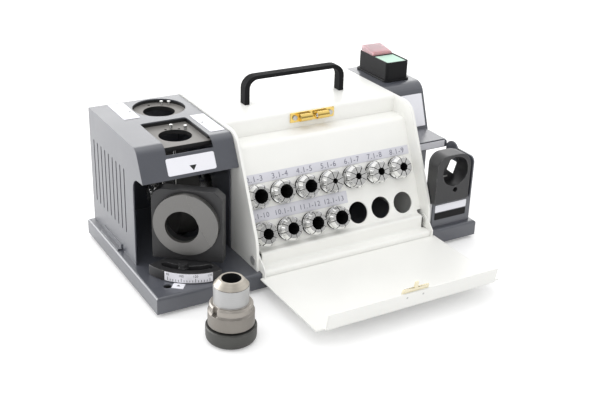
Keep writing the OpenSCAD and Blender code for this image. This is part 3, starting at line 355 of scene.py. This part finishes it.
# Port plates: the floor band has the metal's tone; their sides and recess walls are near-black
# painted shade
PORT_FLOOR, PORT_SHADE = (0.25, 0.24, 0.228), (0.02, 0.02, 0.021)
ROUND_PORT = finish("round_port_steel", PORT_FLOOR, "cast", rough=0.5, metal=0.25, depth=0.00001,
                    scale=900, change=0.06, edge=0.0002, low=122.0, tall=5.0,
                    bands=[(0, PORT_SHADE), (124.6, PORT_FLOOR), (125.0, PORT_SHADE)])
SQUARE_PORT = finish("square_port_steel", PORT_FLOOR, "cast", rough=0.5, metal=0.25,
                     depth=0.00001, scale=900, change=0.06, edge=0.0002, low=122.0, tall=5.0,
                     bands=[(0, PORT_SHADE), (124.1, PORT_FLOOR), (124.5, PORT_SHADE)])
SCREW_BLACK = finish("screw_black", (0.045, 0.045, 0.047), "cast", rough=0.34, metal=0.6,
                     depth=0.00001, scale=900, worn_and_lit_colour=(0.3, 0.3, 0.3), wear_and_highlight=0.5)
ZINC = finish("zinc_plate", (0.6, 0.6, 0.58), "cast", rough=0.4, metal=0.6, depth=0.00001,
              scale=900, change=0.06, worn_and_lit_colour=(0.8, 0.8, 0.8), wear_and_highlight=0.4)
FOIL = finish("label_foil", (0.84, 0.84, 0.89), rough=0.34, depth=0.000006, scale=900,
              change=0.025, worn_and_lit_colour=(0.85, 0.85, 0.88), wear_and_highlight=0.2)
STRIP_FOIL = finish("strip_foil", (0.7, 0.7, 0.76), rough=0.36, depth=0.000006, scale=900,
                    change=0.03, worn_and_lit_colour=(0.8, 0.8, 0.85), wear_and_highlight=0.2)
BLACK_PLASTIC = finish("black_plastic", (0.011, 0.011, 0.012), rough=0.38, depth=0.00002,
                       scale=1100, change=0.12, worn_and_lit_colour=(0.05, 0.05, 0.05), wear_and_highlight=0.3, gloss=0.15)
MOTOR_CAST = finish("motor_casting", (0.56, 0.55, 0.5), "cast", rough=0.55, depth=0.00002,
                    scale=700, change=0.08, worn_and_lit_colour=(0.7, 0.7, 0.66), wear_and_highlight=0.4)
HANDLE_BLACK = finish("handle_black", (0.014, 0.014, 0.015), rough=0.6, depth=0.000015,
                      scale=1300, change=0.12, worn_and_lit_colour=(0.04, 0.04, 0.04), wear_and_highlight=0.3, gloss=0.06)
BRASS = finish("gilt_brass", (0.88, 0.64, 0.2), "brushed", rough=0.16, metal=1.0,
               depth=0.000008, scale=60, change=0.1, edge=0.0003, worn_and_lit_colour=(0.98, 0.86, 0.5), wear_and_highlight=0.7)
PALE_BRASS = finish("pale_brass", (0.96, 0.88, 0.66), "brushed", rough=0.2, metal=0.8,
                    depth=0.000008, scale=60, change=0.1, edge=0.0003,
                    worn_and_lit_colour=(0.98, 0.86, 0.5), wear_and_highlight=0.7)
GREEN = finish("green_button", (0.46, 0.68, 0.56), rough=0.4, depth=0.000006, scale=700,
               change=0.03, worn_and_lit_colour=(0.6, 0.8, 0.7), wear_and_highlight=0.2, gloss=0.3)
RED = finish("red_button", (0.5, 0.03, 0.06), rough=0.25, depth=0.000006, scale=700,
             change=0.04, worn_and_lit_colour=(0.7, 0.2, 0.25), wear_and_highlight=0.2, coat=0.4)
CLEAR_PINK = finish("clear_pink_cap", (1.0, 0.75, 0.78), rough=0.12, rough_change=0.03,
                    depth=0.000004, scale=300, change=0.02, worn_and_lit_colour=(1, 0.85, 0.87), wear_and_highlight=0.3,
                    clear=0.6, ior=1.25)
GRIT = finish("dark_grit", (0.035, 0.034, 0.032), "cast", rough=0.85, depth=0.00012, scale=1700,
              change=0.2, worn_and_lit_colour=(0.08, 0.08, 0.076), wear_and_highlight=0.6)
WINDINGS = finish("laminations", (0.42, 0.25, 0.16), "turned", rough=0.4, metal=0.7,
                  depth=0.00003, scale=1900, **turned_about(*MOTOR_AXIS, "X"))
SHAFT_STEEL = finish("shaft_steel", (0.62, 0.62, 0.62), "turned", rough=0.25, metal=1.0,
                     depth=0.00001, scale=2400, **turned_about(*MOTOR_AXIS, "X"))
# The chuck's near-black band below 15.5 mm is painted shade in the gap at its foot
CHUCK = finish("chuck_steel", (0.5, 0.47, 0.43), "turned", rough=0.4, rough_change=0.1,
               metal=0.55, depth=0.000012, scale=2200, change=0.1, edge=0.0005,
               worn_and_lit_colour=(0.85, 0.82, 0.78), wear_and_highlight=0.8, **turned_about(*CHUCK_AT, 0),
               bands=[(0, (0.02, 0.018, 0.015)), (15.5, (0.27, 0.25, 0.226)),
                      (28.4, (0.4, 0.37, 0.335)), (34.1, (0.5, 0.5, 0.5)),
                      (49.0, (0.03, 0.028, 0.025)), (49.4, (0.52, 0.48, 0.42))])
NUT = finish("nut_blackened", (0.085, 0.085, 0.08), "turned", rough=0.42, metal=0.5,
             depth=0.00001, scale=1500, change=0.14, edge=0.0006, worn_and_lit_colour=(0.4, 0.39, 0.36),
             wear_and_highlight=0.5, **turned_about(*CHUCK_AT, 0))
BLACK_INK = finish("black_ink", (0.02, 0.02, 0.022), rough=0.5, depth=0.000003, change=0.1)
GREY_INK = finish("grey_ink", (0.2, 0.2, 0.26), rough=0.5, depth=0.000003, change=0.1)
# Painted shade: a near-black finish for faces that stand in shade
PAINTED_SHADE = finish("painted_shade", (0.008, 0.008, 0.009), rough=0.8, depth=0.00001, change=0.2)

DRESS = {
    GREY_PAINT: ["base_plate", "grinder_housing", "motor_cover", "shelf_box", "setting_bracket",
                 "grinder_bulkhead", "motor_cradles"],
    MOTOR_CAST: ["motor_housing"],
    WHITE_PAINT: ["cabinet_shell", "collet_rack", "door"],
    RUBBER: ["rubber_feet"],
    CAST_DARK: ["swivel_block", "swivel_arc_plate", "setting_block", "setting_vee",
                "rotor_core"],
    RING_STEEL: ["swivel_ring"],
    COLLET_STEEL: COLLETS,
    BRIGHT_STEEL: ["port_pins", "stop_post", "swivel_pivot_pin", "wheel_flanges",
                   "catch_balls_left", "catch_balls_right"],
    SCREW_BLACK: ["swivel_clamp_screw"],
    ROUND_PORT: ["round_port_plate"],
    SQUARE_PORT: ["square_port_plate"],
    ZINC: ["strike_screws", "door_pins", "catch_screws", "handle_screws", "setting_stop",
           "motor_bearings"],
    FOIL: ["grinder_labels", "swivel_scale", "pointer_plate", "cover_labels"],
    STRIP_FOIL: ["rack_labels"],
    HANDLE_BLACK: ["carry_handle"],
    BLACK_PLASTIC: ["switch_box"],
    BRASS: ["catch_body"],
    PALE_BRASS: ["door_strike"],
    GREEN: ["start_button"],
    RED: ["stop_button"],
    GRIT: ["grinding_wheel"],
    CHUCK: ["chuck_body"],
    NUT: ["chuck_nut"],
    WINDINGS: ["motor_stator"],
    SHAFT_STEEL: ["rotor_shaft"],
}
for material, names in DRESS.items():
    for name in names:
        slots = nodes[name].data.materials
        slots.clear()
        slots.append(material)


def darken(node, in_shade):
    """Gives the faces that a test picks a near-black finish that paints shade on them."""
    mesh = nodes[node].data
    mesh.materials.append(PAINTED_SHADE)
    for face in mesh.polygons:
        if in_shade(mesh, face):
            face.material_index = 1


def in_chuck_bore(mesh, face):
    """Faces nearer to the chuck's axis than its bore's wall, where shade is painted."""
    centre = at(*CHUCK_AT, 0)
    off_axis = math.hypot(face.center.x - centre.x, face.center.y - centre.y)
    return off_axis < CHUCK_BORE_RADIUS / 1000


def in_collet(mesh, face):
    """Slot walls, the bore, and the neck at the panel, where shade is painted."""
    middle = sum(box_of(mesh), Vector()) / 2
    out = face.center - middle
    out -= RACK_OUT * out.dot(RACK_OUT)
    out.normalize()
    from_panel = (face.center - at(0, *RACK_FOOT)).dot(RACK_OUT)
    return (abs(face.normal.dot(RACK_OUT.cross(out))) > 0.9 or face.normal.dot(out) < -0.5
            or from_panel < COLLET_NECK / 1000)


def in_vent(mesh, face):
    """Walls of the slots in the left side of the grinder housing, where shade is painted."""
    low, high = at(0, *VENTS_LOW), at(0, *VENTS_HIGH)
    corners = [mesh.vertices[i].co for i in face.vertices]
    return (face.center.x < box_of(mesh)[0].x + 0.0014 and abs(face.normal.x) < 0.1
            and all(low.y < c.y < high.y and low.z < c.z < high.z for c in corners)
            and (abs(face.normal.y) > 0.99 or face.area < 2e-6))


def box_of(mesh):
    """Low and high corner of a mesh, worked out once."""
    if mesh.name not in boxes:
        spots = [v.co for v in mesh.vertices]
        boxes[mesh.name] = (Vector([min(c[i] for c in spots) for i in range(3)]),
                            Vector([max(c[i] for c in spots) for i in range(3)]))
    return boxes[mesh.name]


boxes = {}
# Painted shade in the chuck's bore, the collets' slots, bores and necks, and the vent slots
darken("chuck_body", in_chuck_bore)
for name in COLLETS:
    darken(name, in_collet)
darken("grinder_housing", in_vent)

# ---------------------------------------------------------------- mesh tools


def add_piece(name, bm, material, body, smooth=35, turn_out=True):
    """Closes a bmesh into an object that rides on a body."""
    if turn_out:
        bmesh.ops.remove_doubles(bm, verts=bm.verts, dist=1e-7)
        bmesh.ops.recalc_face_normals(bm, faces=bm.faces)
    mesh = bpy.data.meshes.new(name)
    bm.to_mesh(mesh)
    bm.free()
    mesh.materials.append(material)
    mesh.shade_smooth()
    mesh.set_sharp_from_angle(angle=rad(smooth))
    piece = bpy.data.objects.new(name, mesh)
    scene.collection.objects.link(piece)
    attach(piece, body)
    return piece


def join_in(bm, part):
    """Adds one bmesh's work to another."""
    mesh = bpy.data.meshes.new("part")
    part.to_mesh(mesh)
    part.free()
    bm.from_mesh(mesh)
    bpy.data.meshes.remove(mesh)


def block(low, high, ease=0.0):
    """A box between two corners in millimetres, its edges eased."""
    bm = bmesh.new()
    bmesh.ops.create_cube(bm, size=1.0)
    low, high = Vector(low), Vector(high)
    bmesh.ops.scale(bm, vec=high - low, verts=bm.verts)
    bmesh.ops.translate(bm, vec=(low + high) / 2, verts=bm.verts)
    if ease:
        bmesh.ops.bevel(bm, geom=bm.edges[:], offset=ease, offset_type="OFFSET",
                        segments=2, profile=0.5, affect="EDGES", clamp_overlap=True,
                        material=-1)
    return bm


def card(width, height, corner, thick):
    """A flat plate on the XY plane with round corners, from Z 0 up."""
    bm = bmesh.new()
    bmesh.ops.create_grid(bm, x_segments=1, y_segments=1, size=0.5)
    bmesh.ops.scale(bm, vec=(width, height, 1), verts=bm.verts)
    if corner:
        bmesh.ops.bevel(bm, geom=bm.verts[:], offset=corner, offset_type="OFFSET",
                        segments=5, profile=0.5, affect="VERTICES", clamp_overlap=True,
                        material=-1)
    out = bmesh.ops.extrude_face_region(bm, geom=bm.faces[:])
    bmesh.ops.translate(bm, vec=(0, 0, thick),
                        verts=[v for v in out["geom"] if isinstance(v, bmesh.types.BMVert)])
    bmesh.ops.recalc_face_normals(bm, faces=bm.faces)
    return bm


def arrow(width, height, thick):
    """A flat triangle that points along -Y."""
    bm = bmesh.new()
    bmesh.ops.create_circle(bm, cap_ends=True, segments=3, radius=1.0)
    low = min(v.co.y for v in bm.verts)
    tall = max(v.co.y for v in bm.verts) - low
    wide = max(v.co.x for v in bm.verts) - min(v.co.x for v in bm.verts)
    bmesh.ops.scale(bm, vec=(width / wide, -height / tall, 1), verts=bm.verts)
    out = bmesh.ops.extrude_face_region(bm, geom=bm.faces[:])
    bmesh.ops.translate(bm, vec=(0, 0, thick),
                        verts=[v for v in out["geom"] if isinstance(v, bmesh.types.BMVert)])
    bmesh.ops.recalc_face_normals(bm, faces=bm.faces)
    return bm


def moved(bm, matrix):
    """The same mesh, put in its place."""
    bmesh.ops.transform(bm, matrix=matrix, verts=bm.verts)
    return bm


def written(lines, size, thick, spacing=1.0):
    """Words as raised ink. Each line is (words, matrix)."""
    bm = bmesh.new()
    for words, matrix in lines:
        curve = bpy.data.curves.new("words", "FONT")
        curve.body = words
        curve.size = size
        curve.align_x, curve.align_y = "CENTER", "CENTER"
        curve.space_character = spacing
        curve.extrude = thick / 2
        curve.resolution_u = 3
        holder = bpy.data.objects.new("words", curve)
        scene.collection.objects.link(holder)
        bpy.context.view_layer.update()
        mesh = bpy.data.meshes.new_from_object(
            holder.evaluated_get(bpy.context.evaluated_depsgraph_get()))
        mesh.transform(matrix @ Matrix.Translation((0, 0, thick / 2)))
        bm.from_mesh(mesh)
        bpy.data.objects.remove(holder)
        bpy.data.curves.remove(curve)
        bpy.data.meshes.remove(mesh)
    return bm


def eased(node, width):
    """A copy of a solid whose sharp edges are really rounded, which stands for it."""
    source = nodes[node]
    bm = bmesh.new()
    bm.from_mesh(source.data)
    bmesh.ops.remove_doubles(bm, verts=bm.verts, dist=2e-6)
    bmesh.ops.dissolve_limit(bm, angle_limit=rad(0.4), verts=bm.verts, edges=bm.edges)
    keen = [e for e in bm.edges if e.is_manifold and e.calc_face_angle(0.0) > rad(35)]
    bmesh.ops.bevel(bm, geom=keen, offset=width / 1000, offset_type="OFFSET", segments=2,
                    profile=0.5, affect="EDGES", clamp_overlap=True, material=-1)
    piece = add_piece(node + "_eased", bm, source.data.materials[0], source["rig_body"],
                      smooth=40, turn_out=False)
    piece.modifiers.new("even_light", "WEIGHTED_NORMAL").keep_sharp = True
    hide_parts(node)


# ---------------------------------------------------------------- labels and ink

INK = 0.04
LABEL = 0.3
APRON_LABEL = 0.25
SLANT = math.atan2(SLANT_DROP, SLANT_RUN)
UP_COVER = COVER_HEAD - COVER_FOOT
COVER_SLANT = math.atan2(UP_COVER.y, UP_COVER.x)
UPRIGHT = Matrix.Rotation(rad(90), 3, "X")
SLANT_LABEL_DOWN = 17.3

# Labels of the grinder housing
sheet = bmesh.new()
slant_label = place(51.65, 52.6 - SLANT_LABEL_DOWN * SLANT_RUN / SLANT_DROP,
                    GRINDER_TOP - SLANT_LABEL_DOWN, Matrix.Rotation(SLANT, 3, "X"))
top_left = place(30.5, 141.5, GRINDER_TOP, Matrix.Rotation(rad(90), 3, "Z"))
top_right = place(85.25, 84.6, GRINDER_TOP, Matrix.Rotation(rad(-90), 3, "Z"))
join_in(sheet, moved(card(43.7, 14.7, 1.6, LABEL), slant_label))
join_in(sheet, moved(card(42.0, 15.0, 1.0, LABEL), top_left))
join_in(sheet, moved(card(43.8, 13.5, 1.0, LABEL), top_right))
labels = add_piece("grinder_label_cards", sheet, FOIL, "machine")
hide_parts("grinder_labels")

# Triangles that say which way a port grinds
marks = bmesh.new()
for width, height, label, spot in ((6.4, 4.6, slant_label, (1.2, -2.6)),
                                   (3.0, 2.2, top_left, (-4.0, -4.2)),
                                   (3.0, 2.2, top_right, (-2.0, -3.6))):
    join_in(marks, moved(arrow(width, height, INK),
                         label @ Matrix.Translation((*spot, LABEL))))
add_piece("port_triangles", marks, BLACK_INK, "machine")

# Label on the slant of the motor cover and strip on the shelf
sheet = bmesh.new()
middle = COVER_FOOT + UP_COVER.normalized() * 22.5
cover_label = place(301.1, middle.x, middle.y, Matrix.Rotation(COVER_SLANT, 3, "X"))
join_in(sheet, moved(card(40.7, 32.0, 1.0, LABEL), cover_label))
shelf_label = place(300.9, 47.0, 83.15, UPRIGHT)
join_in(sheet, moved(card(39.2, 6.7, 0.6, LABEL), shelf_label))
labels = add_piece("cover_label_cards", sheet, FOIL, "machine")
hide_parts("cover_labels")

# Sizes of the collets, printed on the rack's strips
sizes_top = ["2.1-3", "3.1-4", "4.1-5", "5.1-6", "6.1-7", "7.1-8", "8.1-9"]
sizes_low = ["9.1-10", "10.1-11", "11.1-12", "12.1-13"]
SIZE_PITCH = 25


def size_row(texts, first_x, up_panel, size, spacing):
    """A row of printed sizes along a strip of the rack."""
    return written([(words, on_rack(first_x + SIZE_PITCH * k, up_panel, LABEL))
                    for k, words in enumerate(texts)], size, INK, spacing)


sizes = size_row(sizes_top, 109.9, 54.4, 7.0, 1.16)
join_in(sizes, size_row(sizes_low, 108.9, 22.2, 6.4, 1.12))
add_piece("collet_sizes", sizes, GREY_INK, "machine")

# Angle scale on the rim of the swivel's arc plate
RIM = 47.8
SCALE_FOOT = 19.4
SCALE_START, SCALE_PITCH = 257.0, 2.9


def along_scale(k):
    """Matrix of the rim's foot at a mark of the scale."""
    return on_swivel() @ Matrix.Rotation(rad(SCALE_START + SCALE_PITCH * k - 270), 4, "Z")


scale_marks = bmesh.new()
for k in range(0, 16):
    tall = 3.4 if k % 5 == 0 else 2.0
    mark = block((-0.18, -RIM - 0.1, SCALE_FOOT), (0.18, -RIM, SCALE_FOOT + tall))
    join_in(scale_marks, moved(mark, along_scale(k)))
stand = Matrix.Translation((0, -RIM - INK, 25.0)) @ Matrix.Rotation(rad(90), 4, "X")
numbers = [(text, along_scale(k) @ stand)
           for k, text in ((0, "90"), (5, "105"), (10, "120"), (15, "135"))]
join_in(scale_marks, written(numbers, 3.0, INK))
add_piece("swivel_scale_marks", scale_marks, BLACK_INK, "swivel")

# Pointer of the scale
pointer = moved(arrow(3.4, 2.4, INK), on_swivel() @ Matrix.Translation((0, -52.2, 18.25))
                @ Matrix.Rotation(rad(180), 4, "Z"))
add_piece("pointer_mark", pointer, BLACK_INK, "machine")

# Strips on the apron of the setting bracket
for name, tall, middle, material, slot in (
        ("apron_label_card", 7.4, 37.4, FOIL, "label"),
        ("apron_dark_card", 6.8, 29.4, BLACK_PLASTIC, "black_plastic")):
    sheet = moved(card(36.5, tall, 0.8, APRON_LABEL), place(SETTING_X, APRON_Y, middle, UPRIGHT))
    add_piece(name, sheet, material, "machine")

# ---------------------------------------------------------------- metal and plastic

for node, width, slot in (
        ("carry_handle", 0.7, "black_plastic"), ("switch_box", 0.5, "black_plastic"),
        ("start_button", 0.6, "green_button"), ("swivel_block", 0.5, "cast_dark"),
        ("setting_block", 0.5, "cast_dark"), ("swivel_arc_plate", 0.4, "cast_dark"),
        ("swivel_ring", 0.6, "ring_steel"), ("catch_body", 0.35, "brass"),
        ("door_strike", 0.3, "brass")):
    eased(node, width)

# Stop button: a red key under a clear cap that stands up over it
x0, x1, y0, y1 = 291.8, 314.2, 135.3, 156.2
CAP_SHOULDER, CAP_STEP = 152, 3.6
key = block((x0 + 0.8, y0 + 0.8, 144.5), (x1 - 0.8, y0 + 6.0, 151.6), 0.6)
add_piece("stop_key", moved(key, place(0, 0, 0)), RED, "stop_button")
cap = bmesh.new()
bmesh.ops.create_cube(cap, size=1.0)
bmesh.ops.scale(cap, vec=(x1 - x0, y1 - y0, 12.0), verts=cap.verts)
bmesh.ops.translate(cap, vec=((x0 + x1) / 2, (y0 + y1) / 2, 150.1), verts=cap.verts)
# Its top slopes down to the front
for v in cap.verts:
    if v.co.z > CAP_SHOULDER and v.co.y < (y0 + y1) / 2:
        v.co.z -= CAP_STEP
rim = [e for e in cap.edges if all(v.co.z > CAP_SHOULDER for v in e.verts)]
bmesh.ops.bevel(cap, geom=rim, offset=2.0, offset_type="OFFSET", segments=4, profile=0.5,
                affect="EDGES", clamp_overlap=True, material=-1)
cap = add_piece("stop_cap", moved(cap, place(0, 0, 0)), CLEAR_PINK, "stop_button")
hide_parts("stop_button")

# ---------------------------------------------------------------- studio

FLOOR_HALF = 6.0
FLOOR_GLOW = 0.22
ROOM_LIGHT = 0.95
NEAR_ROOM = 0.14
TO_NEAR_SIDE = (-0.52, -0.85, 0.1)

sheet = bmesh.new()
bmesh.ops.create_grid(sheet, x_segments=1, y_segments=1, size=FLOOR_HALF)
mesh = bpy.data.meshes.new("floor")
sheet.to_mesh(mesh)
sheet.free()
floor = bpy.data.objects.new("floor", mesh)
scene.collection.objects.link(floor)
paper = bpy.data.materials.new("paper_floor")
paper.use_nodes = True
tree = paper.node_tree
base = tree.nodes["Principled BSDF"]
base.inputs["Base Color"].default_value = (0.86, 0.86, 0.86, 1)
base.inputs["Roughness"].default_value = 0.75
base.inputs["Specular IOR Level"].default_value = 0.15
seen = put(tree, "LightPath").outputs["Is Camera Ray"]
glow = put(tree, "Emission", {"Strength": maths(tree, "MULTIPLY", seen, FLOOR_GLOW)})
both = put(tree, "AddShader", {0: base.outputs[0], 1: glow.outputs[0]})
tree.links.new(both.outputs[0], tree.nodes["Material Output"].inputs["Surface"])
floor.data.materials.append(paper)

world = bpy.data.worlds.new("studio")
scene.world = world
world.use_nodes = True
tree = world.node_tree
path = put(tree, "LightPath").outputs
# Reflections see a dim room on the near side and bright paper all round the rest
near = put(tree, "VectorMath", {0: put(tree, "TexCoord").outputs["Generated"],
                                1: TO_NEAR_SIDE}, operation="DOT_PRODUCT")
room = spread(tree, near.outputs["Value"], 0.1, 0.6, 1.0, NEAR_ROOM)
mirrored = maths(tree, "MULTIPLY", path["Is Glossy Ray"], room)
plain = maths(tree, "MAXIMUM", path["Is Camera Ray"], path["Is Transmission Ray"])
soft = maths(tree, "MULTIPLY", path["Is Diffuse Ray"], ROOM_LIGHT)
tree.links.new(maths(tree, "MAXIMUM", soft, maths(tree, "MAXIMUM", mirrored, plain)),
               tree.nodes["Background"].inputs["Strength"])
tree.nodes["Background"].inputs["Color"].default_value = (1, 1, 1, 1)


def softbox(name, spot, aim, wide, tall, radiance):
    """A soft area lamp that faces a point. Its power follows from how bright its face is."""
    light = bpy.data.lights.new(name, "AREA")
    light.shape = "RECTANGLE"
    light.size, light.size_y = wide, tall
    light.energy = radiance * math.pi * wide * tall
    lamp = bpy.data.objects.new(name, light)
    lamp.location = spot
    lamp.rotation_euler = (Vector(aim) - Vector(spot)).to_track_quat("-Z", "Y").to_euler()
    scene.collection.objects.link(lamp)


softbox("back_box", (0.8, 1.7, 0.85), (-0.05, 0.05, 0.1), 2.4, 1.3, 1.1)
softbox("top_box", (-0.2, 0.1, 1.5), (0.0, 0.0, 0.0), 1.0, 1.0, 1.25)
softbox("left_box", (-1.3, 1.3, 0.5), (-0.1, 0.05, 0.08), 1.6, 1.0, 4.2)
softbox("front_box", (-1.1, -1.3, 1.3), (0.0, 0.0, 0.08), 0.8, 0.8, 1.6)

# ---------------------------------------------------------------- camera

EYE = (-0.42574, -0.69042, 0.43471)
FOCAL_PIXELS, WIDTH_PIXELS, SENSOR = 996.49, 600.0, 36.0
yaw, pitch, roll = rad(30.85), rad(24.85), rad(2.01)
forward = Vector((math.sin(yaw) * math.cos(pitch), math.cos(yaw) * math.cos(pitch),
                  -math.sin(pitch)))
right = Vector((math.cos(yaw), -math.sin(yaw), 0))
upward = right.cross(forward)
side = right * math.cos(roll) + upward * math.sin(roll)
top = upward * math.cos(roll) - right * math.sin(roll)
camera = bpy.data.objects.new("camera", bpy.data.cameras.new("camera"))
camera.data.sensor_width = SENSOR
camera.data.lens = FOCAL_PIXELS * SENSOR / WIDTH_PIXELS
camera.data.clip_start, camera.data.clip_end = 0.02, 40.0
turn = Matrix((side, top, -forward)).transposed().to_4x4()
camera.matrix_world = Matrix.Translation(EYE) @ turn
scene.collection.objects.link(camera)
scene.camera = camera
scene.view_settings.view_transform = "Standard"
